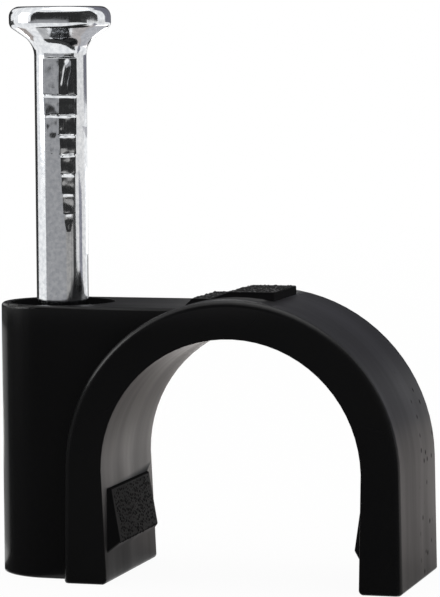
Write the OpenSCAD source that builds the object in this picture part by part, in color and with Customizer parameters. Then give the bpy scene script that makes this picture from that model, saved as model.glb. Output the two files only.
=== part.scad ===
// Nail-in cable clip: a moulded hoop with a nail boss, and the nail that waits in it

/* [Cable channel] */
// Diameter of the cable that the hoop closes over
cable_d = 10; // [7:0.5:14]
// Height of the straight legs, from the wall face to the half round
leg_h = 4.35; // [4.2:0.05:7]
// Angle by which the inner face of the leg beside the nail closes in towards its foot
near_lean = 2.6; // [0.4:0.1:3]
// Angle by which the inner face of the free leg closes in towards its foot
free_lean = 1.1; // [0.4:0.1:3]

/* [Hoop] */
// Wall of the hoop
hoop_wall = 1.45; // [1.1:0.05:2.4]
// Depth of the hoop along the cable
clip_depth = 6.6; // [5.6:0.1:12]
// Angle by which the outer face of each leg spreads towards its foot
leg_flare = 1; // [0.2:0.1:2.5]
// Rounding of the hoop's outer edges
outer_edge_r = 0.28; // [0.1:0.02:0.4]
// Rounding of the inside corner of each foot
foot_r = 0.2; // [0.1:0.02:0.4]
// Rounding of the outside corner of each foot
foot_edge_r = 0.14; // [0.08:0.02:0.4]

/* [Grip wedges] */
// Height of the wedge's upper edge above the wall face
grip_top = 3.55; // [2.6:0.05:4]
// Height of the wedge's crest above the wall face
grip_crest = 1.5; // [1.4:0.05:2.4]
// Height at which the wedge runs back into the leg
grip_foot = 1.15; // [0.8:0.05:1.3]
// How far the upper edge stands off the leg
grip_step = 0.12; // [0.04:0.02:0.2]
// How far the crest stands off the leg
grip_rise = 0.38; // [0.24:0.02:0.6]
// Distance of the wedge's face from the faces of the hoop
grip_inset = 0.85; // [0.7:0.05:1.4]
// Angle by which the wedge's ends spread from its face towards the leg
grip_spread = 52; // [10:1:55]

/* [Crown pad] */
// Length of the pad's flat across the crown
pad_len = 1.72; // [1:0.02:2.4]
// Width of the pad along the cable
pad_w = 3.4; // [2:0.1:4.6]
// Height of the flat above the crown
pad_rise = 0.2; // [0.1:0.02:0.4]
// Distance of the pad's middle from the crown, away from the nail
pad_shift = 0.49; // [0:0.01:0.8]
// Length of the lower step on the nail's side of the pad
step_len = 0.72; // [0.4:0.02:1]
// Drop from the flat to the lower step
step_drop = 0.27; // [0.1:0.01:0.3]
// Length of the slope between the flat and the step
step_slope = 0.75; // [0.3:0.05:1]

/* [Nail boss] */
// Distance of the boss's top below the crown
boss_drop = 0.4; // [0.2:0.05:1]
// Rim of the boss round the countersink
boss_rim = 0.36; // [0.25:0.01:0.8]
// Rounding of the boss's top edge
boss_edge_r = 0.14; // [0.06:0.02:0.24]
// Plastic between the nail hole and the hoop's outer face
nail_web = 0.03; // [0.02:0.01:1]
// Gap all round between the nail and its hole
nail_clear = 0.02; // [0.01:0.01:0.1]
// Gap all round between the head and its countersink
head_clear = 0.05; // [0.02:0.01:0.2]
// Depth of the countersink's upright wall
sink_wall = 0.5; // [0.3:0.05:1]
// Angle of the countersink's cone to the nail
sink_angle = 45; // [30:1:60]

/* [Nail] */
// Diameter of the nail's wire
nail_d = 2; // [1.6:0.1:2.8]
// Length of the nail under its head
nail_len = 20.1; // [16:0.1:40]
// Height of the nail's tip above the wall face
tip_clear = 0.7; // [0.2:0.05:3]
// Length of the diamond point
point_len = 2.4; // [1.6:0.1:4]
// Diameter of the head
head_d = 3.9; // [3.6:0.1:6]
// Thickness of the head at its rim
head_t = 0.9; // [0.8:0.05:1.6]
// Rounding of the rim's upper edge
rim_r = 0.45; // [0.2:0.05:0.5]
// Rounding of the rim's lower edge
rim_low_r = 0.3; // [0.1:0.05:0.4]
// Hollow radius between the wire and the head's underside
neck_r = 0.9; // [0.4:0.05:1.2]
// Angle of the head's underside to the nail
under_angle = 55; // [40:1:70]
// Number of short flats in each main row that the heading die left on the wire
die_flats = 7; // [2:1:12]
// Number of short flats in each side row
side_flats = 3; // [2:1:12]
// Distance of the long flat below the head
die_start = 1.05; // [1:0.05:2]
// Length of the long flat
die_long = 1.4; // [0.5:0.05:2]
// Spacing of the short flats along the wire
die_pitch = 0.75; // [0.5:0.05:1]
// Thickness of the ridge between two flats
die_ridge = 0.13; // [0.08:0.01:0.25]
// Depth of the long flat in a main row
die_depth = 0.08; // [0.03:0.01:0.12]
// Depth of the long flat in a side row
side_depth = 0.06; // [0.02:0.01:0.1]
// Direction of the main rows round the nail
die_turn = 33; // [0:1:90]
// Angle from a main row to its side row
die_split = 36; // [30:1:60]

/* [Hidden] */
$fn = 96;
overlap = 0.3;
blend = 0.005;
channel_r = cable_d / 2;
leg_r = channel_r - blend;
hoop_r = channel_r + hoop_wall;
middle_r = channel_r + hoop_wall / 2;
crown_h = leg_h + hoop_r;
nail_r = nail_d / 2;
head_r = head_d / 2;
hole_r = nail_r + nail_clear;
sink_r = head_r + head_clear;
sink_depth = sink_wall + (sink_r - hole_r) / tan(sink_angle);
boss_r = sink_r + boss_rim;
boss_h = crown_h - boss_drop;
hoop_x = hole_r + nail_web + hoop_r;
grip_len = clip_depth - 2 * grip_inset;
grip_root = 0.1;
head_low = tip_clear + nail_len;
head_top = head_low + head_t;
rim_share = 0.45;
low_fillet = min(rim_low_r, rim_share * head_t);
top_fillet = min(rim_r, rim_share * head_t);
rim_low_h = head_low + low_fillet;
under_run = cos(under_angle) * (head_r - low_fillet - nail_r - neck_r) + low_fillet + neck_r;
neck_h = rim_low_h - under_run / sin(under_angle);
die_top = head_low - die_start;

// Height above the cable's axis of a point that lies this far above the wall face
function from_axis(height) = height - leg_h;

// How far out, at a height above the wall face, a leaning line runs that passes the axis at a distance
function leg_x(distance, lean, height) = (distance + from_axis(height) * sin(lean)) / cos(lean);

// Section of the hoop's wall with rounded outer edges, from inside the channel out
module wall_section() {
  half = clip_depth / 2;
  root = channel_r - hoop_wall / 2;
  round_x = hoop_r - outer_edge_r;
  translate([root, -half]) square([round_x - root, clip_depth]);
  translate([root, outer_edge_r - half]) square([hoop_r - root, clip_depth - 2 * outer_edge_r]);
  for (side = [-1, 1]) translate([round_x, side * (half - outer_edge_r)]) circle(outer_edge_r);
}

// One leg that spreads towards its foot, past the wall face, and its side of the half round
module hoop_side() {
  run = leg_h + hoop_wall;
  rotate([0, -leg_flare, 0]) {
    translate([0, 0, -run]) linear_extrude(run) wall_section();
    rotate([90, 0, 0]) rotate_extrude(angle = 90) wall_section();
  }
}

// Half of the channel's outline below the cable's axis, out to one leg with its rounded foot
module leg_space(lean) {
  reach = 2 * foot_r;
  inset = foot_r - blend;
  polygon([
    [-overlap, 0],
    leg_r * [cos(lean), -sin(lean)],
    [leg_x(leg_r, lean, -overlap), from_axis(-overlap)],
    [-overlap, from_axis(-overlap)]
  ]);
  translate([leg_x(leg_r + inset, lean, inset), from_axis(inset)]) difference() {
    polygon([[0, 0], reach * [-cos(lean), sin(lean)], [-reach, -reach], [0, -reach]]);
    circle(foot_r);
  }
}

// Outline of the channel between the legs
module channel_outline() {
  circle(channel_r);
  leg_space(free_lean);
  mirror([1, 0]) leg_space(near_lean);
}

// What the rounded outside corner of a leg's foot leaves out
module foot_corner() {
  reach = 2 * foot_edge_r;
  inset = foot_edge_r - blend;
  translate([leg_x(hoop_r - inset, -leg_flare, inset), from_axis(inset)]) difference() {
    polygon([[0, 0], reach * [cos(leg_flare), sin(leg_flare)], [reach, -reach], [0, -reach]]);
    circle(foot_edge_r);
  }
}

// Wedge on the inner face of a leg, with ends that spread towards the leg
module grip(lean) {
  top = [leg_x(leg_r, lean, grip_top) - grip_step, from_axis(grip_top)];
  crest = [leg_x(leg_r, lean, grip_crest) - grip_rise, from_axis(grip_crest)];
  foot = [leg_x(leg_r, lean, grip_foot), from_axis(grip_foot)];
  root = leg_r + grip_root;
  face = top - crest;
  intersection() {
    rotate([90, 0, 0]) linear_extrude(clip_depth, center = true)
      polygon([[root, top[1]], top, crest, foot, [root, foot[1]]]);
    translate([crest[0], 0, crest[1]]) rotate([0, atan2(face[0], face[1]), 0])
      translate([0, 0, -grip_top]) linear_extrude(3 * grip_top) grip_plan();
  }
}

// Outline of a wedge square to its face, from before the face to inside the leg
module grip_plan() {
  depth = grip_rise + 2 * grip_root;
  front = grip_len / 2 - overlap * tan(grip_spread);
  back = grip_len / 2 + depth * tan(grip_spread);
  polygon([[-overlap, -front], [-overlap, front], [depth, back], [depth, -back]]);
}

// Hoop cut off at the wall face, with its channel and wedges, about the cable's axis
module hoop() {
  difference() {
    for (turn = [0, 180]) rotate([0, 0, turn]) hoop_side();
    rotate([90, 0, 0]) linear_extrude(2 * clip_depth, center = true) {
      channel_outline();
      foot_corner();
      mirror([1, 0]) foot_corner();
    }
    translate([-2 * hoop_r, -clip_depth, from_axis(-2 * leg_h)])
      cube([4 * hoop_r, 2 * clip_depth, 2 * leg_h]);
  }
  grip(free_lean);
  rotate([0, 0, 180]) grip(near_lean);
}

// Raised pad on the crown, with a lower step towards the nail
module crown_pad() {
  flat_h = hoop_r + pad_rise;
  step_h = flat_h - step_drop;
  root_h = middle_r;
  right = pad_shift + pad_len / 2;
  left = right - pad_len;
  step_right = left - step_slope;
  step_left = step_right - step_len;
  rotate([90, 0, 0]) linear_extrude(pad_w, center = true) polygon([
    [step_left - (step_h - root_h), root_h],
    [step_left, step_h],
    [step_right, step_h],
    [left, flat_h],
    [right, flat_h],
    [right, root_h]
  ]);
}

// Half of the boss's upright section, from its middle plane out, with a rounded top edge
module boss_half_section() {
  square([boss_r, boss_h - boss_edge_r]);
  square([boss_r - boss_edge_r, boss_h]);
  translate([boss_r - boss_edge_r, boss_h - boss_edge_r]) circle(boss_edge_r);
}

// Round end about the nail, and the straight block that runs from it into the hoop's wall
module boss() {
  rotate_extrude() intersection() {
    boss_half_section();
    square([boss_r, boss_h]);
  }
  difference() {
    rotate([90, 0, 90]) linear_extrude(hoop_x) {
      boss_half_section();
      mirror([1, 0]) boss_half_section();
    }
    rotate([90, 0, 0]) linear_extrude(4 * boss_r, center = true) translate([hoop_x, leg_h]) {
      circle(middle_r);
      translate([-middle_r, from_axis(-overlap)]) square([2 * middle_r, leg_h + overlap]);
    }
  }
}

// Nail hole with its countersink for the head
module nail_hole() {
  translate([0, 0, -overlap]) cylinder(r = hole_r, h = boss_h + 2 * overlap);
  rotate_extrude() polygon([
    [0, boss_h - sink_depth],
    [hole_r, boss_h - sink_depth],
    [sink_r, boss_h - sink_wall],
    [sink_r, boss_h + overlap],
    [0, boss_h + overlap]
  ]);
}

module clip_body() {
  color("#1b1b1c") difference() {
    union() {
      translate([hoop_x, 0, leg_h]) {
        hoop();
        crown_pad();
      }
      boss();
    }
    nail_hole();
  }
}

// Half of the nail's section: wire, hollow neck, sloping underside and round-rimmed head
module nail_half_section() {
  slope = [cos(under_angle), -sin(under_angle)];
  neck = [nail_r + neck_r, neck_h];
  rim_low = [head_r - low_fillet, rim_low_h];
  rim_top = [head_r - top_fillet, head_top - top_fillet];
  translate([0, tip_clear]) square([nail_r, head_top - tip_clear]);
  difference() {
    polygon([
      [0, neck_h],
      [neck[0], neck_h],
      neck - neck_r * slope,
      rim_low + low_fillet * slope,
      rim_low,
      [0, rim_low_h]
    ]);
    translate(neck) circle(neck_r);
  }
  translate([0, rim_low_h]) square([head_r, rim_top[1] - rim_low_h]);
  translate([0, rim_low_h]) square([rim_top[0], head_top - rim_low_h]);
  translate(rim_low) circle(low_fillet);
  translate(rim_top) circle(top_fillet);
}

// One of the four cuts that leave a diamond point
module point_cut() {
  rotate([90, 0, 0]) linear_extrude(2 * nail_d, center = true) polygon([
    [0, tip_clear],
    [nail_d, tip_clear + 2 * point_len],
    [nail_d, tip_clear - overlap],
    [0, tip_clear - overlap]
  ]);
}

// How deep a flat is that comes after a number of others in its row
function flat_depth(first, place, flats) = first * (1 - place / (flats + 1));

// What a flat of a given depth takes off one side of the wire
module flat_side(depth) {
  translate([nail_r - depth, -nail_r]) square([nail_r, nail_d]);
}

// One mark of the die, below a height: a flat and, beside it in the upper marks, a side flat
module die_mark(top, length, place) {
  translate([0, 0, top - length]) linear_extrude(length) {
    flat_side(flat_depth(die_depth, place, die_flats));
    if (place <= side_flats) rotate(-die_split) flat_side(flat_depth(side_depth, place, side_flats));
  }
}

// Long mark under the head and a row of short ones, shallower the further they are from it
module die_row() {
  short_top = die_top - die_long - die_ridge;
  die_mark(die_top, die_long, 0);
  for (i = [1:die_flats])
    die_mark(short_top - (i - 1) * die_pitch, die_pitch - die_ridge, i);
}

module nail() {
  color("#b7babd") difference() {
    rotate_extrude() nail_half_section();
    for (turn = [0:90:270]) rotate([0, 0, turn]) point_cut();
    for (turn = [0, 180]) rotate([0, 0, die_turn - 90 + turn]) die_row();
  }
}

clip_body();
nail();
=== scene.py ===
import math

import bmesh
import bpy
from mathutils import Matrix, Vector, noise


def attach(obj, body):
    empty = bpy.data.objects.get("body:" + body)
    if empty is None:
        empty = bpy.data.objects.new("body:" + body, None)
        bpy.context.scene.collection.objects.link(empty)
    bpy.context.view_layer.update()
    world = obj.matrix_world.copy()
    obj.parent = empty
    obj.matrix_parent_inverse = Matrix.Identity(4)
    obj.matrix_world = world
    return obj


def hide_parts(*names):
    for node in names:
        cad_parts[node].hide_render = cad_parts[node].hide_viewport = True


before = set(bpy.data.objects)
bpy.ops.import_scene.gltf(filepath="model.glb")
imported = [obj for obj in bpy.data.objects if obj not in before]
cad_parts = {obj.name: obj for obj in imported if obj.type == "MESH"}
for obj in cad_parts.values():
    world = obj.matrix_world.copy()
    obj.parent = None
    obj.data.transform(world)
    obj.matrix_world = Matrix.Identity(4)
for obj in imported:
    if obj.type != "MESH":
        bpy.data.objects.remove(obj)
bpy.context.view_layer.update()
mm = 0.001
mergeDistance = 1e-7  # m, points closer than this become one
print("frame loaded:", sorted(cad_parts))


def toLinear(hexColour):
    channels = [int(hexColour[i:i + 2], 16) / 255 for i in (1, 3, 5)]
    return tuple(c / 12.92 if c <= 0.04045 else ((c + 0.055) / 1.055) ** 2.4 for c in channels) + (1.0,)


def addNode(tree, kind, inputs=None, **settings):
    node = tree.nodes.new(kind)
    for name, value in settings.items():
        setattr(node, name, value)
    for key, value in (inputs or {}).items():
        if isinstance(value, bpy.types.NodeSocket):
            tree.links.new(value, node.inputs[key])
        else:
            node.inputs[key].default_value = value
    return node


def newMaterial(name):
    material = bpy.data.materials.new(name)
    material.use_nodes = True
    material.node_tree.nodes.clear()
    return material, material.node_tree


def setStops(ramp, pairs):
    for element, (place, colour) in zip(ramp.color_ramp.elements, pairs):
        element.position = place
        element.color = toLinear(colour)


def clamp(share):
    return min(1.0, max(0.0, share))


def smooth(share):
    share = clamp(share)
    return share * share * (3 - 2 * share)


def newObject(name, mesh):
    piece = bpy.data.objects.new(name, mesh)
    bpy.context.scene.collection.objects.link(piece)
    return piece


def meshFrom(name, points, faces):
    mesh = bpy.data.meshes.new(name)
    mesh.from_pydata([Vector(p) * mm for p in points], [], faces)
    mesh.validate()
    return mesh


def shadeByAngle(mesh, degrees):
    mesh.polygons.foreach_set("use_smooth", [True] * len(mesh.polygons))
    mesh.set_sharp_from_angle(angle=math.radians(degrees))


# moulded polyethylene, black: satin skin, so broad soft reflections; faint flow streaks run round the hoop,
# and dull specks lie on the free leg; the "dull" attribute makes the skin duller above 0 and more polished
# below it
clipFinish = {
    "colour": "#0a0a0b",
    "worn": "#101011",
    "tones": (0.35, 0.75),       # values of the flow noise where the two colours lie
    "ior": 1.5,
    "roughness": (0.36, 0.48),
    "specular": 0.28,
    "sheen": (1.22, 0.78),       # times the specular level, from a glossy streak to a dull one
    "flow": (0.3, 0.7),          # values of the flow noise at those two
    "streak": 1.7,               # mm, width of the flow streaks across the clip
    "streakLength": 14.0,        # mm
    "grain": 0.09,               # mm, pitch of the mould's grain, drawn coarser than real so that it shows
    "grainDepth": 0.01,          # mm
    "grainStrength": 0.12,
    "speck": 0.65,               # mm, spacing of the specks
    "speckSize": 0.12,           # mm, their radius
    "speckCore": 0.4,            # share of the radius that is fully dull
    "speckX": (12.6, 13.2),      # mm, they come in between these: on the free leg
    "speckY": (0.0, 0.9),        # mm, and towards its rear edge
    "speckSheen": 0.45,          # what a speck leaves of the specular level
    "speckRough": 0.35,          # added to the roughness in a speck
    "speckPolish": -0.3,         # value of the attribute from which down nothing is added
    "dullRoughness": 0.72,       # where the attribute is 1
    "dullSheen": 0.92,
}


def blackPolyethylene():
    f = clipFinish
    material, tree = newMaterial("blackMouldedPolyethylene")
    place = addNode(tree, "ShaderNodeTexCoord").outputs["Object"]
    dull = addNode(tree, "ShaderNodeAttribute", attribute_name="dull").outputs["Fac"]
    roundHoop, across = 1 / (f["streakLength"] * mm), 1 / (f["streak"] * mm)
    along = addNode(tree, "ShaderNodeMapping", {"Vector": place, "Scale": (roundHoop, across, roundHoop)})
    flow = addNode(tree, "ShaderNodeTexNoise", {
        "Vector": along.outputs["Vector"], "Scale": 1.0, "Detail": 3.0, "Roughness": 0.5}).outputs["Fac"]
    tone = addNode(tree, "ShaderNodeValToRGB", {"Fac": flow})
    setStops(tone, zip(f["tones"], (f["colour"], f["worn"])))
    satin = addNode(tree, "ShaderNodeMapRange", {
        "Value": flow, "From Min": f["flow"][0], "From Max": f["flow"][1],
        "To Min": f["roughness"][0], "To Max": f["roughness"][1]})
    gloss = addNode(tree, "ShaderNodeMapRange", {
        "Value": dull, "To Min": satin.outputs["Result"], "To Max": f["dullRoughness"]}, clamp=False)
    sheen = addNode(tree, "ShaderNodeMapRange", {
        "Value": flow, "From Min": f["flow"][0], "From Max": f["flow"][1],
        "To Min": f["sheen"][0] * f["specular"], "To Max": f["sheen"][1] * f["specular"]})
    # the specular level falls as "dull" rises; on the matt faces it is cut to about a quarter, as painted
    # shade
    fade = addNode(tree, "ShaderNodeMapRange", {
        "Value": dull, "To Min": 1.0, "To Max": f["dullSheen"]}, clamp=False)
    # specks: how much sheen each point keeps, 1 everywhere but in a speck on the free leg
    specks = addNode(tree, "ShaderNodeTexVoronoi", {"Vector": place, "Scale": 1 / (f["speck"] * mm)})
    spot = addNode(tree, "ShaderNodeSeparateXYZ", {"Vector": place})
    freeLeg = addNode(tree, "ShaderNodeMapRange", {
        "Value": spot.outputs["X"], "From Min": f["speckX"][0] * mm, "From Max": f["speckX"][1] * mm})
    rear = addNode(tree, "ShaderNodeMapRange", {
        "Value": spot.outputs["Y"], "From Min": f["speckY"][0] * mm, "From Max": f["speckY"][1] * mm,
        "To Min": 1.0, "To Max": f["speckSheen"]})
    least = addNode(tree, "ShaderNodeMapRange", {
        "Value": freeLeg.outputs["Result"], "To Min": 1.0, "To Max": rear.outputs["Result"]})
    kept = addNode(tree, "ShaderNodeMapRange", {
        "Value": specks.outputs["Distance"],
        "From Min": f["speckCore"] * f["speckSize"] / f["speck"], "From Max": f["speckSize"] / f["speck"],
        "To Min": least.outputs["Result"], "To Max": 1.0})
    spotted = addNode(tree, "ShaderNodeMath", {
        0: sheen.outputs["Result"], 1: kept.outputs["Result"]}, operation="MULTIPLY")
    level = addNode(tree, "ShaderNodeMath", {
        0: spotted.outputs[0], 1: fade.outputs["Result"]}, operation="MULTIPLY")
    roughest = addNode(tree, "ShaderNodeMapRange", {
        "Value": dull, "From Min": f["speckPolish"], "From Max": 0.0,
        "To Min": 0.0, "To Max": f["speckRough"]})
    rougher = addNode(tree, "ShaderNodeMapRange", {
        "Value": kept.outputs["Result"], "From Min": f["speckSheen"], "From Max": 1.0,
        "To Min": roughest.outputs["Result"], "To Max": 0.0})
    rough = addNode(tree, "ShaderNodeMath", {
        0: gloss.outputs["Result"], 1: rougher.outputs["Result"]}, operation="ADD")
    grain = addNode(tree, "ShaderNodeTexNoise", {
        "Vector": place, "Scale": 1 / (f["grain"] * mm), "Detail": 3.0, "Roughness": 0.6})
    bump = addNode(tree, "ShaderNodeBump", {
        "Height": grain.outputs["Fac"], "Strength": f["grainStrength"], "Distance": f["grainDepth"] * mm})
    skin = addNode(tree, "ShaderNodeBsdfPrincipled", {
        "Base Color": tone.outputs["Color"], "Roughness": rough.outputs[0], "IOR": f["ior"],
        "Specular IOR Level": level.outputs[0], "Normal": bump.outputs["Normal"]})
    addNode(tree, "ShaderNodeOutputMaterial", {"Surface": skin.outputs["BSDF"]})
    return material


# bright zinc-plated steel wire: clear mirror-like reflections, streaked along the wire by drawing
nailFinish = {
    "colour": "#f0f2f4",
    "shade": "#d6d9dd",
    "tones": (0.35, 0.65),     # values of the cloud noise where shade and colour lie
    "roughness": (0.05, 0.13),
    "drawn": (0.3, 0.7),       # values of the streak noise at those two
    "streak": 0.05,            # mm, width of the drawing streaks
    "streakLength": 3.0,       # mm
    "streakDepth": 0.006,      # mm
    "streakStrength": 0.15,
    "spangle": 0.16,           # mm, size of the plating's soft clouds
}


def zincPlatedSteel():
    f = nailFinish
    material, tree = newMaterial("brightZincPlatedSteel")
    place = addNode(tree, "ShaderNodeTexCoord").outputs["Object"]
    across, along = 1 / (f["streak"] * mm), 1 / (f["streakLength"] * mm)
    drawn = addNode(tree, "ShaderNodeMapping", {"Vector": place, "Scale": (across, across, along)})
    streaks = addNode(tree, "ShaderNodeTexNoise", {
        "Vector": drawn.outputs["Vector"], "Scale": 1.0, "Detail": 2.0}).outputs["Fac"]
    clouds = addNode(tree, "ShaderNodeTexNoise", {
        "Vector": place, "Scale": 1 / (f["spangle"] * mm), "Detail": 3.0})
    tone = addNode(tree, "ShaderNodeValToRGB", {"Fac": clouds.outputs["Fac"]})
    setStops(tone, zip(f["tones"], (f["shade"], f["colour"])))
    gloss = addNode(tree, "ShaderNodeMapRange", {
        "Value": streaks, "From Min": f["drawn"][0], "From Max": f["drawn"][1],
        "To Min": f["roughness"][0], "To Max": f["roughness"][1]})
    bump = addNode(tree, "ShaderNodeBump", {
        "Height": streaks, "Strength": f["streakStrength"], "Distance": f["streakDepth"] * mm})
    metal = addNode(tree, "ShaderNodeBsdfPrincipled", {
        "Base Color": tone.outputs["Color"], "Metallic": 1.0, "Roughness": gloss.outputs["Result"],
        "Normal": bump.outputs["Normal"]})
    addNode(tree, "ShaderNodeOutputMaterial", {"Surface": metal.outputs["BSDF"]})
    return material


polyethylene = blackPolyethylene()
zinc = zincPlatedSteel()
print("materials made")

# clip moulding: the solid's own mesh with its sharp outer corners broken as a mould leaves them
moulding = {
    "joinAngle": 0.3,       # degrees, faces that meet flatter than this become one
    "cornerAngle": 24,      # degrees, corners sharper than this are broken
    "cornerBreak": 0.05,    # mm
    "steps": 2,
    "smoothAngle": 38,
    # shading of large flat faces, mm2, and of long straight walls, mm; how nearly they face or pass an axis
    "flatArea": 1.0,
    "flatFacing": 0.9995,
    "longWall": 2.0,
    "wallFacing": 0.02,
    "runOutAngle": 16,      # degrees, a rounded edge that runs out into them follows them up to this
    # values of the "dull" attribute
    "stippleDull": 1.0,
    # matt skin: roughest, and its specular level cut to about a quarter, which paints shade on these faces
    "mattShadeDull": 9.6,
    "polish": -0.6,         # on the two flat sides; it comes in with the share of the normal across the clip
    "polishSlope": 1.6,
    "polishStart": 0.1,
}
# stippled faces: the two grip wedges and the crown pad, each a box in mm, an axis and the least normal along
# that axis
stippled = {
    "nearWedge": ((2.4, -2.75, 1.4), (3.3, 2.75, 3.6), (1, 0, 0), 0.9),
    "freeWedge": ((11.8, -2.75, 1.4), (12.6, 2.75, 3.6), (-1, 0, 0), 0.9),
    "crownPad": ((5.4, -1.75, 10.6), (8.9, 1.75, 11.1), (0, 0, 1), 0.6),
}
# matt faces round them, the wedges' ends and the pad's sides, as boxes in mm; their specular level is
# cut to about a quarter, so they render dark: painted shade on a matt finish
mattShadeBoxes = {
    "nearWedge": ((2.2, -3.0, 1.2), (3.3, 3.0, 3.8)),
    "freeWedge": ((11.7, -3.0, 1.2), (12.8, 3.0, 3.8)),
    "crownPad": ((5.2, -1.85, 10.3), (9.0, 1.85, 11.05)),
}
# matt countersink round the nail, its specular level cut to about a quarter so the recess renders dark as
# painted shade: radius and lower end in mm; faces that look up more than the last value are the boss's top
countersink = {"radius": 2.02, "low": 8.5, "level": 0.95}


def isInside(face, low, high):
    corners = [vert.co / mm for vert in face.verts]
    return all(low[i] <= corner[i] <= high[i] for corner in corners for i in range(3))


def isStippled(face):
    return any(isInside(face, low, high) and face.normal.dot(Vector(axis)) > least
               for low, high, axis, least in stippled.values())


def isMattShaded(face):
    middle = face.calc_center_median() / mm
    inSink = math.hypot(middle.x, middle.y) < countersink["radius"] and middle.z > countersink["low"]
    if inSink and face.normal.z < countersink["level"]:
        return True
    return any(isInside(face, low, high) for low, high in mattShadeBoxes.values())


def fixedDull(face):
    if isStippled(face):
        return moulding["stippleDull"]
    return moulding["mattShadeDull"] if isMattShaded(face) else None


def flattenNormals(mesh):
    # large flat faces are shaded truly flat, and long straight walls keep straight, also where rounded edges
    # run out
    normals = [corner.vector.copy() for corner in mesh.corner_normals]
    held = {}
    for face in mesh.polygons:
        normal = face.normal.copy()
        corners = [mesh.vertices[v].co for v in face.vertices]
        rules = []
        for axis in (1, 2):
            span = max(c[axis] for c in corners) - min(c[axis] for c in corners)
            if face.area > moulding["flatArea"] * mm * mm and abs(normal[axis]) > moulding["flatFacing"]:
                rules.insert(0, (None, normal))
            elif abs(normal[axis]) < moulding["wallFacing"] and span > moulding["longWall"] * mm:
                rules.append((axis, normal))
        for v in face.vertices:
            held.setdefault(v, []).extend(rules)
    for face in mesh.polygons:
        for k in face.loop_indices:
            near = [(axis, normal) for axis, normal in held[mesh.loops[k].vertex_index]
                    if face.normal.angle(normal) < math.radians(moulding["runOutAngle"])]
            flat = [normal for axis, normal in near if axis is None]
            for axis, normal in near:
                if axis is not None:
                    normals[k][axis] = 0.0
            normals[k] = flat[0] if flat else normals[k].normalized()
    mesh.normals_split_custom_set(normals)


def makeClip():
    m = moulding
    shape = bmesh.new()
    shape.from_mesh(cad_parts["clip_body"].data)
    bmesh.ops.remove_doubles(shape, verts=shape.verts, dist=mergeDistance)
    bmesh.ops.dissolve_limit(
        shape, angle_limit=math.radians(m["joinAngle"]), verts=shape.verts, edges=shape.edges)
    corners = [e for e in shape.edges if e.calc_face_angle_signed(0) > math.radians(m["cornerAngle"])]
    bmesh.ops.bevel(shape, geom=corners, offset=m["cornerBreak"] * mm, offset_type="OFFSET",
                    segments=m["steps"], profile=0.5, affect="EDGES", clamp_overlap=False)
    bmesh.ops.remove_doubles(shape, verts=shape.verts, dist=mergeDistance)
    shape.normal_update()
    skins = [fixedDull(face) for face in shape.faces]
    mesh = bpy.data.meshes.new("clipMoulding")
    shape.to_mesh(mesh)
    shape.free()
    shadeByAngle(mesh, m["smoothAngle"])
    mesh.materials.append(polyethylene)
    flattenNormals(mesh)
    dulls = []
    for face, skin in zip(mesh.polygons, skins):
        for k in face.loop_indices:  # the two flat sides and their rounded edges come off polished steel
            side = abs(mesh.corner_normals[k].vector.y)
            polish = m["polish"] * smooth(m["polishSlope"] * side - m["polishStart"])
            dulls.append(polish if skin is None else skin)
    mesh.attributes.new("dull", "FLOAT", "CORNER").data.foreach_set("value", dulls)
    return newObject("clipMoulding", mesh)


clip = makeClip()
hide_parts("clip_body")
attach(clip, "root")
print("clip moulding:", len(clip.data.polygons), "faces")

# stipple: low cones scattered over the stippled faces, as the spark-eroded mould leaves them; sizes in mm
stippleSizes = {
    "spacing": 0.12,
    "foot": 0.075,
    "top": 0.028,
    "height": 0.036,
    "sides": 6,
    "least": 0.35,        # size of the smallest cone and of the largest one, times those above
    "most": 1.2,
    "sink": 0.006,
    "keep": 0.93,         # share of each face that has cones, so that its edges stay clean
    "leastArea": 0.1,     # mm2, smaller faces stay plain
    "density": 4e8,       # cones on a square metre before the spacing thins them
    "smoothAngle": 20,
    "seed": 11,
}


def stippleTree():
    tree = bpy.data.node_groups.new("mouldStipple", "GeometryNodeTree")
    sockets = [("Geometry", "Geometry"), ("Spacing", "Float"), ("Foot", "Float"), ("Top", "Float"),
               ("Height", "Float"), ("Least", "Float"), ("Most", "Float"), ("Density", "Float"),
               ("Sides", "Int"), ("Seed", "Int"), ("Material", "Material")]
    for name, kind in sockets:
        tree.interface.new_socket(name, in_out="INPUT", socket_type="NodeSocket" + kind)
    tree.interface.new_socket("Geometry", in_out="OUTPUT", socket_type="NodeSocketGeometry")
    given = addNode(tree, "NodeGroupInput").outputs
    points = addNode(tree, "GeometryNodeDistributePointsOnFaces", {
        "Mesh": given["Geometry"], "Distance Min": given["Spacing"], "Density Max": given["Density"],
        "Seed": given["Seed"]}, distribute_method="POISSON")
    cone = addNode(tree, "GeometryNodeMeshCone", {
        "Vertices": given["Sides"], "Radius Top": given["Top"], "Radius Bottom": given["Foot"],
        "Depth": given["Height"]}, fill_type="NGON")
    size = addNode(tree, "FunctionNodeRandomValue", {
        "Min": given["Least"], "Max": given["Most"], "Seed": given["Seed"]}, data_type="FLOAT")
    bumps = addNode(tree, "GeometryNodeInstanceOnPoints", {
        "Points": points.outputs["Points"], "Instance": cone.outputs["Mesh"],
        "Rotation": points.outputs["Rotation"], "Scale": size.outputs["Value"]})
    solid = addNode(tree, "GeometryNodeRealizeInstances", {"Geometry": bumps.outputs["Instances"]})
    coated = addNode(tree, "GeometryNodeSetMaterial", {
        "Geometry": solid.outputs["Geometry"], "Material": given["Material"]})
    addNode(tree, "NodeGroupOutput", {"Geometry": coated.outputs["Geometry"]})
    return tree


def stippledFaces():
    s = stippleSizes
    shape = bmesh.new()
    shape.from_mesh(clip.data)
    points, faces = [], []
    for face in shape.faces:
        if isStippled(face) and face.calc_area() > s["leastArea"] * mm * mm:
            middle = face.calc_center_median() - face.normal * s["sink"] * mm
            faces.append(range(len(points), len(points) + len(face.verts)))
            points += [(middle + (v.co - face.calc_center_median()) * s["keep"]) / mm for v in face.verts]
    shape.free()
    return newObject("stippledFaces", meshFrom("stippledFaces", points, faces))


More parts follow.
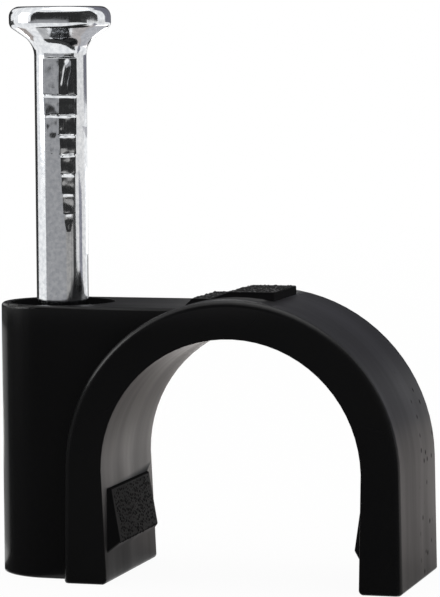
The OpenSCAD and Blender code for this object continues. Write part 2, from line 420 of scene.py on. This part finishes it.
def makeStipple():
    s = stippleSizes
    base = stippledFaces()
    modifier = base.modifiers.new("mouldStipple", "NODES")
    modifier.node_group = stippleTree()
    values = {"Spacing": s["spacing"] * mm, "Foot": s["foot"] * mm, "Top": s["top"] * mm,
              "Height": s["height"] * mm, "Least": s["least"], "Most": s["most"], "Density": s["density"],
              "Sides": s["sides"], "Seed": s["seed"], "Material": polyethylene}
    for socket in modifier.node_group.interface.items_tree:
        if socket.in_out == "INPUT" and socket.name in values:
            modifier[socket.identifier] = values[socket.name]
    bpy.context.view_layer.update()
    done = bpy.data.meshes.new_from_object(base.evaluated_get(bpy.context.evaluated_depsgraph_get()))
    base.modifiers.remove(modifier)
    bpy.data.objects.remove(base)
    done.name = "gripStipple"
    dulls = [moulding["stippleDull"]] * len(done.polygons)
    done.attributes.new("dull", "FLOAT", "FACE").data.foreach_set("value", dulls)
    shadeByAngle(done, s["smoothAngle"])
    return newObject("gripStipple", done)


stipple = makeStipple()
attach(stipple, "root")
print("stipple:", len(stipple.data.polygons), "faces")

# nail: wire, hollow neck, sloping underside and round-rimmed head, turned from one profile; the heading
# die's marks are pressed into two sides of it with rounded ridges between them, and left a little uneven;
# sizes in mm
nailSizes = {
    "wire": 2.0,
    "tip": 0.7,            # height of the point above the wall face
    "point": 2.4,
    "headLow": 20.8,
    "headD": 3.9,
    "headT": 0.9,
    "rim": 0.405,
    "rimLow": 0.3,
    "neck": 0.9,
    "underAngle": 55.0,
    # die marks: one long one and a column below it that grows shallower; the side flat runs out beside it
    "marks": 7,
    "markStart": 1.05,     # under the head
    "longMark": 1.4,
    "markPitch": 0.75,
    "ridge": 0.13,
    "depth": 0.08,
    "sideMarks": 3,        # the side flat ends at the low end of this one, counted from the long mark as 0
    "sideDepth": 0.06,
    "turn": 33.0,          # degrees from the front to the marks, and from them to the side flat
    "split": 36.0,
    "ends": 0.035,         # half length of the slope at their top
    "runOut": 0.55,        # length of the slope at their foot
    # ridges between the marks: height, length of the upper and of the lower slope, waviness
    "ridgeHigh": 0.028,
    "ridgeShare": 0.6,     # of the mark's depth, at most
    "slopeUp": 0.03,
    "slopeDown": 0.115,
    "sideRidge": 0.02,     # where the side flat is shallower than this it has no ridge
    "wavy": 0.022,
    "wavyTurns": 3.2,      # how fast the waviness changes round the wire and along it
    "wavyAlong": 1.4,
    # unevenness of the marks' floors, and of the head
    "uneven": 0.012,
    "unevenPitch": 0.30,
    "unevenShift": 0.5,    # keeps most of it below the floor
    "unevenEdge": 0.35,    # share of the depth over which it comes in
    "sideUneven": 0.6,     # share of it on the side flat, and on the nail's far side
    "farUneven": 0.25,
    "headUneven": 0.010,
    "headPitch": 0.55,
    "headFrom": 0.5,       # below the head
    # groove that the die left in the long mark: heights and places across it, half width, depth
    "scar": ((18.45, -0.20), (19.7, 0.06), 0.11, 0.05),
    "scarFade": 6,         # it fades in and out over one part in six of its length
}
# the nail's mesh: points round it, then rows in each part of the profile
nailRows = {
    "around": 180,
    "point": 12, "shaft": 14, "mark": 10, "ridge": 14, "end": 3, "neck": 14, "rimLow": 10, "rim": 16,
    "beside": 0.02,        # mm, extra rows this far from the point's top and from the last mark
    "ridgeTop": 0.035,     # mm, a ridge's rows start this far above the low end of its mark
    "ridgeStep": 0.0175,   # mm, and lie this far apart
    "belowNeck": 0.01,     # mm, the wire's rows stop this far under the neck
    "smoothAngle": 40,     # degrees
}


def dieMarks():
    s = nailSizes
    top = s["headLow"] - s["markStart"]
    marks = [(top - s["longMark"], top, s["depth"])]  # low end, top end, depth
    top -= s["longMark"] + s["ridge"]
    for i in range(1, s["marks"] + 1):
        marks.append((top - s["markPitch"] + s["ridge"], top, s["depth"] * (1 - i / (s["marks"] + 1))))
        top -= s["markPitch"]
    return marks


def arc(centreR, centreZ, radius, start, end, steps):
    turns = [math.radians(start + (end - start) * k / steps) for k in range(steps + 1)]
    return [(centreZ + radius * math.sin(t), centreR + radius * math.cos(t)) for t in turns]


def nailProfile(marks):
    s, n = nailSizes, nailRows
    wireR, headR = s["wire"] / 2, s["headD"] / 2
    under = math.radians(s["underAngle"])
    rimLowZ = s["headLow"] + s["rimLow"]
    run = math.cos(under) * (headR - s["rimLow"] - wireR - s["neck"]) + s["rimLow"] + s["neck"]
    neckZ = rimLowZ - run / math.sin(under)
    pointTop, marksLow = s["tip"] + s["point"], marks[-1][0] - n["beside"]
    heights = {s["tip"] + s["point"] * k / n["point"] for k in range(n["point"] + 1)}
    heights |= {pointTop + n["beside"], marksLow - n["beside"]}
    heights |= {pointTop + (marksLow - pointTop) * k / n["shaft"] for k in range(1, n["shaft"])}
    for low, top, depth in marks:
        heights |= {round(low + (top - low) * k / n["mark"], 6) for k in range(n["mark"] + 1)}
        heights |= {round(low + n["ridgeTop"] - n["ridgeStep"] * k, 6) for k in range(n["ridge"])}
    heights |= {round(marks[0][1] + s["ends"] * k / n["end"], 6) for k in range(-n["end"] - 1, n["end"] + 2)}
    rows = [(z, wireR) for z in sorted(heights) if z < neckZ - n["belowNeck"]]
    rows += arc(wireR + s["neck"], neckZ, s["neck"], 180, 180 - s["underAngle"], n["neck"])
    rows += arc(headR - s["rimLow"], rimLowZ, s["rimLow"], -s["underAngle"], 0, n["rimLow"])
    rows += arc(headR - s["rim"], s["headLow"] + s["headT"] - s["rim"], s["rim"], 0, 90, n["rim"])
    return rows


def markDepths(z, marks):
    s = nailSizes
    ends = smooth((marks[0][1] - z + s["ends"]) / (2 * s["ends"])) * smooth((z - marks[-1][0]) / s["runOut"])
    sideLow = marks[s["sideMarks"]][0]
    side = s["sideDepth"] * clamp((z - sideLow) / (marks[0][0] - sideLow))
    depth = marks[0][2] if z > marks[0][0] else marks[-1][2]
    for above, below in zip(marks, marks[1:]):
        if below[0] <= z <= above[0]:
            down = above[0] - z
            high = smooth(down / s["slopeUp"]) * smooth(1 - (down - s["slopeUp"]) / s["slopeDown"])
            depth = above[2] + (below[2] - above[2]) * smooth(down / (above[0] - below[1]))
            depth -= high * min(s["ridgeHigh"], s["ridgeShare"] * depth)
            side -= high * min(s["ridgeHigh"], s["ridgeShare"] * side) * smooth(side / s["sideRidge"] - 1)
    return depth * ends, side * ends


def scarDepth(z, across):
    (lowZ, lowX), (topZ, topX), half, depth = nailSizes["scar"]
    share = (z - lowZ) / (topZ - lowZ)
    fade = clamp(nailSizes["scarFade"] * share) * clamp(nailSizes["scarFade"] * (1 - share))
    return depth * fade * math.exp(-((across - lowX - (topX - lowX) * share) / half) ** 2)


def markedRadius(turn, z, radius, marks):
    s = nailSizes
    wireR, x, y = s["wire"] / 2, math.cos(turn), math.sin(turn)
    wavy = s["wavy"] * noise.noise(Vector((s["wavyTurns"] * x, s["wavyTurns"] * y, s["wavyAlong"] * z)))
    wave = noise.noise(Vector((x, y, z)) * (wireR / s["unevenPitch"]))
    for depth, place in zip(markDepths(z + wavy, marks), (s["turn"], s["turn"] - s["split"])):
        off = turn - math.radians(place - 90)
        floor = (wireR - depth) / max(abs(math.cos(off)), 1e-6)
        if depth and floor < wireR:
            isMain, isNear = place == s["turn"], math.cos(off) > 0
            comesIn = min(1.0, (wireR - floor) / (s["unevenEdge"] * depth))
            uneven = s["uneven"] * (1.0 if isMain else s["sideUneven"]) * (1.0 if isNear else s["farUneven"])
            floor -= comesIn * uneven * (wave + s["unevenShift"])
            if isMain and isNear:
                floor -= scarDepth(z, wireR * math.sin(off))
            radius = min(radius, floor)
    return radius


def nailRadius(turn, z, radius, marks):
    s = nailSizes
    r = markedRadius(turn, z, radius, marks)
    if z > s["headLow"] - s["headFrom"]:
        place = Vector((radius * math.cos(turn), radius * math.sin(turn), z)) / s["headPitch"]
        r += s["headUneven"] * noise.noise(place)
    if z < s["tip"] + s["point"]:  # four-sided point
        across = max(abs(math.cos(turn)), abs(math.sin(turn)))
        r = min(r, max(0.0, (z - s["tip"]) * (s["wire"] / 2) / s["point"]) / across)
    return r


def makeNail():
    count = nailRows["around"]
    marks = dieMarks()
    rows = nailProfile(marks)
    points, faces = [], []
    for z, radius in rows:
        for k in range(count):
            turn = 2 * math.pi * k / count
            r = nailRadius(turn, z, radius, marks)
            points.append((r * math.cos(turn), r * math.sin(turn), z))
    for i in range(len(rows) - 1):
        for k in range(count):
            a, b = i * count + k, i * count + (k + 1) % count
            faces.append((a, b, b + count, a + count))
    last = (len(rows) - 1) * count
    points.append((0, 0, rows[-1][0]))
    faces += [(last + k, last + (k + 1) % count, len(points) - 1) for k in range(count)]
    mesh = meshFrom("nail", points, faces)
    shape = bmesh.new()
    shape.from_mesh(mesh)
    bmesh.ops.remove_doubles(shape, verts=shape.verts, dist=mergeDistance)
    bmesh.ops.dissolve_degenerate(shape, edges=shape.edges, dist=mergeDistance)
    bmesh.ops.recalc_face_normals(shape, faces=shape.faces)
    shape.to_mesh(mesh)
    shape.free()
    shadeByAngle(mesh, nailRows["smoothAngle"])
    mesh.materials.append(zinc)
    return newObject("platedNail", mesh)


nail = makeNail()
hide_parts("nail")
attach(nail, "root")
print("nail:", len(nail.data.polygons), "faces")

# studio: pale floor that reads white to the camera and to reflections, but still takes the shadow; sizes
# in mm
studio = {
    "floor": "#f2f2f0",
    "floorHalf": 900.0,
    "floorHigh": -0.01,
    "floorWhite": 0.95,     # share of white near the clip; it grows to 1 between the next two
    "whiteFrom": 30.0,
    "whiteTo": 240.0,
    "worldLight": 0.80,
    "matHigh": 0.01,        # the mats lie, and the front flag starts, this far above the wall face
    "cardStep": 5,          # degrees, a round card has a fold about this often
    # upright cards that only reflections see: glowing sheets that light nothing and cast no shadow, so
    # each one is a painted reflection, the bright ones painted highlights and the dark ones painted
    # shade; start and end round the nail from the front in degrees, distance from it, low and high edge,
    # colour
    "cards": {
        "frontCard": (-58, 36, 90, -20, 21, (0.36, 0.36, 0.37)),
        "frontHighCard": (-50, 112, 90, 21, 128, (0.03, 0.03, 0.03)),
        "darkCard": (36, 68, 90, 8.5, 21, (0.03, 0.03, 0.03)),
        "lowSideCard": (36, 68, 90, -20, 8.5, (0.40, 0.39, 0.38)),
        "sideLine": (68, 82, 90, -20, 21, (0.06, 0.06, 0.06)),
        "rightCard": (82, 140, 90, -20, 21, (0.86, 0.85, 0.84)),
        "backLine": (-164, -111, 90, -20, 21, (0.04, 0.04, 0.04)),
        "headLine": (-170, -112, 8, 20.6, 23.5, (0.02, 0.02, 0.02)),
        "backHighCard": (140, 183, 90, 16, 110, (0.19, 0.19, 0.22)),
        "topBackCard": (183, 215, 90, 14, 110, (0.06, 0.06, 0.065)),
        # glows brighter than white but is no lamp: a painted highlight, seen in reflections, for the thin
        # bright line along the hoop's left front edge
        "leftSoftboxReflection": (-84, -60, 90, 14, 75, (4.2, 4.2, 4.2)),
    },
    # dark flag close to the clip's front, and the mat inside it, that keep the floor out of the front faces;
    # only reflections see them and they block no light, so they paint shade into the front faces: places of
    # the flag's foot, its height there, and the mat's inner edge
    "flag": [
        (-6.6, 0.4, 9.9, -2.5, 0.6), (-6.4, -2.0, 9.9, -2.3, -1.0), (-5.0, -4.6, 9.9, -1.7, -1.9),
        (-2.0, -6.4, 9.9, -0.8, -2.5), (2.0, -6.8, 9.9, 0.9, -3.4), (4.0, -6.8, 9.9, 4.0, -3.4),
        (9.0, -6.8, 10.2, 9.0, -3.4), (16.0, -6.8, 10.2, 14.0, -3.4), (21.0, -5.0, 10.2, 14.6, -3.2),
        (25.0, -1.0, 10.2, 15.6, -2.6),
    ],
    "flagColour": (0.05, 0.05, 0.05),
    # flat upright cards behind the clip and to its left, glowing sheets that only reflections see, so each
    # is a painted reflection; padCard glows brighter than white as a painted highlight on the pad's stipple:
    # place of one end and of the other, low and high edge, colour
    "behind": {
        "outerLowCard": ((14.7, 7.0), (44.0, 7.0), 0.0, 6.0, (0.66, 0.62, 0.61)),
        "outerHighCard": ((14.7, 7.0), (44.0, 7.0), 6.0, 14.0, (0.28, 0.28, 0.32)),
        "edgeCard": ((0.0, 39.0), (12.0, 43.0), -1.0, 12.5, (0.03, 0.03, 0.03)),
        "padCard": ((2.4, 12.0), (6.4, 12.0), 11.4, 15.0, (2.80, 2.80, 2.82)),
        "leftFlag": ((-6.6, 0.4), (-6.6, 5.0), 0.0, 9.0, (0.50, 0.50, 0.50)),
    },
    # floor mats under the clip and behind it, glowing sheets that only reflections see, so each is a painted
    # reflection; crownMat and rightMat glow brighter than white as painted highlights: left and right, near
    # and far, colour
    "reflectionMats": {
        "insideMat": ((2.9, 11.9), (-3.2, 4.0), (0.25, 0.24, 0.24)),
        "outsideMat": ((14.1, 26.0), (-3.2, 4.0), (0.40, 0.38, 0.37)),
        "nearMat": ((2.5, 26.0), (4.0, 15.0), (0.50, 0.47, 0.46)),
        "leftMat": ((-30.0, 9.0), (15.0, 29.0), (0.40, 0.36, 0.34)),
        "crownMat": ((-30.0, 9.0), (29.0, 88.0), (4.30, 4.16, 4.06)),
        "rightMat": ((9.0, 30.0), (15.0, 88.0), (1.90, 1.79, 1.75)),
    },
    # shelf behind the nail, a grey glowing sheet that only reflections see, painting a grey reflection on the
    # neck so that it shows against the white: left and right, near and far, height at either, colour; it lies
    # nearly along the rays that the wire sends back, so the wire hardly shows it
    "neckReflectionShelf": ((0.3, 5.6), (1.8, 10.4), (17.05, 16.34), (0.50, 0.50, 0.52)),
}


def seenAsWhite(tree):
    path = addNode(tree, "ShaderNodeLightPath").outputs
    seen = addNode(tree, "ShaderNodeMath", {
        0: path["Is Camera Ray"], 1: path["Is Glossy Ray"]}, operation="MAXIMUM")
    return addNode(tree, "ShaderNodeMath", {
        0: seen.outputs[0], 1: path["Is Transmission Ray"]}, operation="MAXIMUM").outputs[0]


def makeFloor():
    material, tree = newMaterial("paleStudioFloor")
    place = addNode(tree, "ShaderNodeTexCoord").outputs["Object"]
    out = addNode(tree, "ShaderNodeVectorMath", {0: place}, operation="LENGTH")
    whiten = addNode(tree, "ShaderNodeMapRange", {
        "Value": out.outputs["Value"],
        "From Min": studio["whiteFrom"] * mm, "From Max": studio["whiteTo"] * mm,
        "To Min": studio["floorWhite"], "To Max": 1.0}, interpolation_type="SMOOTHSTEP")
    share = addNode(tree, "ShaderNodeMath", {
        0: seenAsWhite(tree), 1: whiten.outputs["Result"]}, operation="MULTIPLY")
    paper = addNode(tree, "ShaderNodeBsdfDiffuse", {"Color": toLinear(studio["floor"])})
    white = addNode(tree, "ShaderNodeEmission", {"Color": (1, 1, 1, 1), "Strength": 1.0})
    mix = addNode(tree, "ShaderNodeMixShader", {
        0: share.outputs[0], 1: paper.outputs["BSDF"], 2: white.outputs["Emission"]})
    addNode(tree, "ShaderNodeOutputMaterial", {"Surface": mix.outputs["Shader"]})
    half, high = studio["floorHalf"], studio["floorHigh"]
    corners = [(-half, -half, high), (half, -half, high), (half, half, high), (-half, half, high)]
    mesh = meshFrom("studioFloor", corners, [(0, 1, 2, 3)])
    mesh.materials.append(material)
    newObject("studioFloor", mesh)


def aroundNail(degrees, out):
    turn = math.radians(degrees)
    return out * math.sin(turn), -out * math.cos(turn)


# a card glows with its own colour and is hidden from the camera, from diffuse light and from shadows, so it
# only paints a reflection
def makeReflectionCard(name, colour, rows):
    material, tree = newMaterial(name)
    glow = addNode(tree, "ShaderNodeEmission", {"Color": (*colour, 1), "Strength": 1.0})
    addNode(tree, "ShaderNodeOutputMaterial", {"Surface": glow.outputs["Emission"]})
    points = [p for row in rows for p in row]
    mesh = meshFrom(name, points, [(2 * i, 2 * i + 2, 2 * i + 3, 2 * i + 1) for i in range(len(rows) - 1)])
    mesh.materials.append(material)
    card = newObject(name, mesh)
    for ray in ("camera", "diffuse", "transmission", "volume_scatter", "shadow"):
        setattr(card, "visible_" + ray, False)


def makeCards():
    for name, (start, end, out, low, high, colour) in studio["cards"].items():
        steps = max(2, round((end - start) / studio["cardStep"]))
        places = [aroundNail(start + (end - start) * i / steps, out) for i in range(steps + 1)]
        makeReflectionCard(name, colour, [[(x, y, low), (x, y, high)] for x, y in places])
    foot, colour = studio["matHigh"], studio["flagColour"]
    upright = [[(x, y, foot), (x, y, high)] for x, y, high, inX, inY in studio["flag"]]
    lying = [[(x, y, foot), (inX, inY, foot)] for x, y, high, inX, inY in studio["flag"]]
    makeReflectionCard("frontFlag", colour, upright)
    makeReflectionCard("frontMat", colour, lying)
    for name, (start, end, low, high, colour) in studio["behind"].items():
        makeReflectionCard(name, colour, [[(*end, low), (*end, high)], [(*start, low), (*start, high)]])
    for name, ((left, right), (near, far), colour) in studio["reflectionMats"].items():
        makeReflectionCard(name, colour, [[(x, near, foot), (x, far, foot)] for x in (left, right)])
    (left, right), (near, far), (nearHigh, farHigh), colour = studio["neckReflectionShelf"]
    makeReflectionCard("neckReflectionShelf", colour, [[(x, near, nearHigh), (x, far, farHigh)] for x in (left, right)])


def makeWorld():
    world = bpy.data.worlds.new("softStudio")
    world.use_nodes = True
    bpy.context.scene.world = world
    tree = world.node_tree
    tree.nodes.clear()
    soft = addNode(tree, "ShaderNodeBackground", {"Color": (1, 1, 1, 1), "Strength": studio["worldLight"]})
    white = addNode(tree, "ShaderNodeBackground", {"Color": (1, 1, 1, 1), "Strength": 1.0})
    mix = addNode(tree, "ShaderNodeMixShader", {
        0: seenAsWhite(tree), 1: soft.outputs["Background"], 2: white.outputs["Background"]})
    addNode(tree, "ShaderNodeOutputWorld", {"Surface": mix.outputs["Shader"]})


# lamps: place in mm, side in mm, watts; all of them aim at one place
lamps = {
    "rightSoftbox": ((170.0, 10.0, 70.0), 120.0, 0.055),
    "topSoftbox": ((20.0, 30.0, 190.0), 150.0, 0.060),
}
lampAim = (6.0, 0.0, 8.0)


def makeLamps():
    for name, (place, side, power) in lamps.items():
        light = bpy.data.lights.new(name, "AREA")
        light.energy = power
        light.size = side * mm
        lamp = bpy.data.objects.new(name, light)
        lamp.location = Vector(place) * mm
        aim = Vector(lampAim) * mm - lamp.location
        lamp.rotation_euler = aim.to_track_quat("-Z", "Y").to_euler()
        bpy.context.scene.collection.objects.link(lamp)


# camera where the photograph was taken from; angles in degrees, lengths in mm, but what it sees in metres
shot = {
    "yaw": 15.69, "pitch": 4.676, "roll": -0.396,
    "lookAt": (6.281, 0.0, 10.593),
    "distance": 124.274,
    "lens": 197.35,
    "sensor": 36.0,
    "sees": (0.005, 20.0),
}


def makeCamera():
    yaw, pitch, roll = (math.radians(shot[k]) for k in ("yaw", "pitch", "roll"))
    back = Vector((math.sin(yaw) * math.cos(pitch), -math.cos(yaw) * math.cos(pitch), math.sin(pitch)))
    right = Vector((math.cos(yaw), math.sin(yaw), 0.0))
    up = back.cross(right)
    side = math.cos(roll) * right + math.sin(roll) * up
    top = math.cos(roll) * up - math.sin(roll) * right
    data = bpy.data.cameras.new("photoCamera")
    data.lens = shot["lens"]
    data.sensor_width = shot["sensor"]
    data.clip_start, data.clip_end = shot["sees"]
    camera = bpy.data.objects.new("photoCamera", data)
    turn = Matrix((side, top, back)).transposed().to_4x4()
    stand = (Vector(shot["lookAt"]) + back * shot["distance"]) * mm
    camera.matrix_world = Matrix.Translation(stand) @ turn
    bpy.context.scene.collection.objects.link(camera)
    bpy.context.scene.camera = camera


makeFloor()
makeCards()
makeWorld()
makeLamps()
makeCamera()
bpy.context.scene.view_settings.view_transform = "Standard"
print("studio ready")
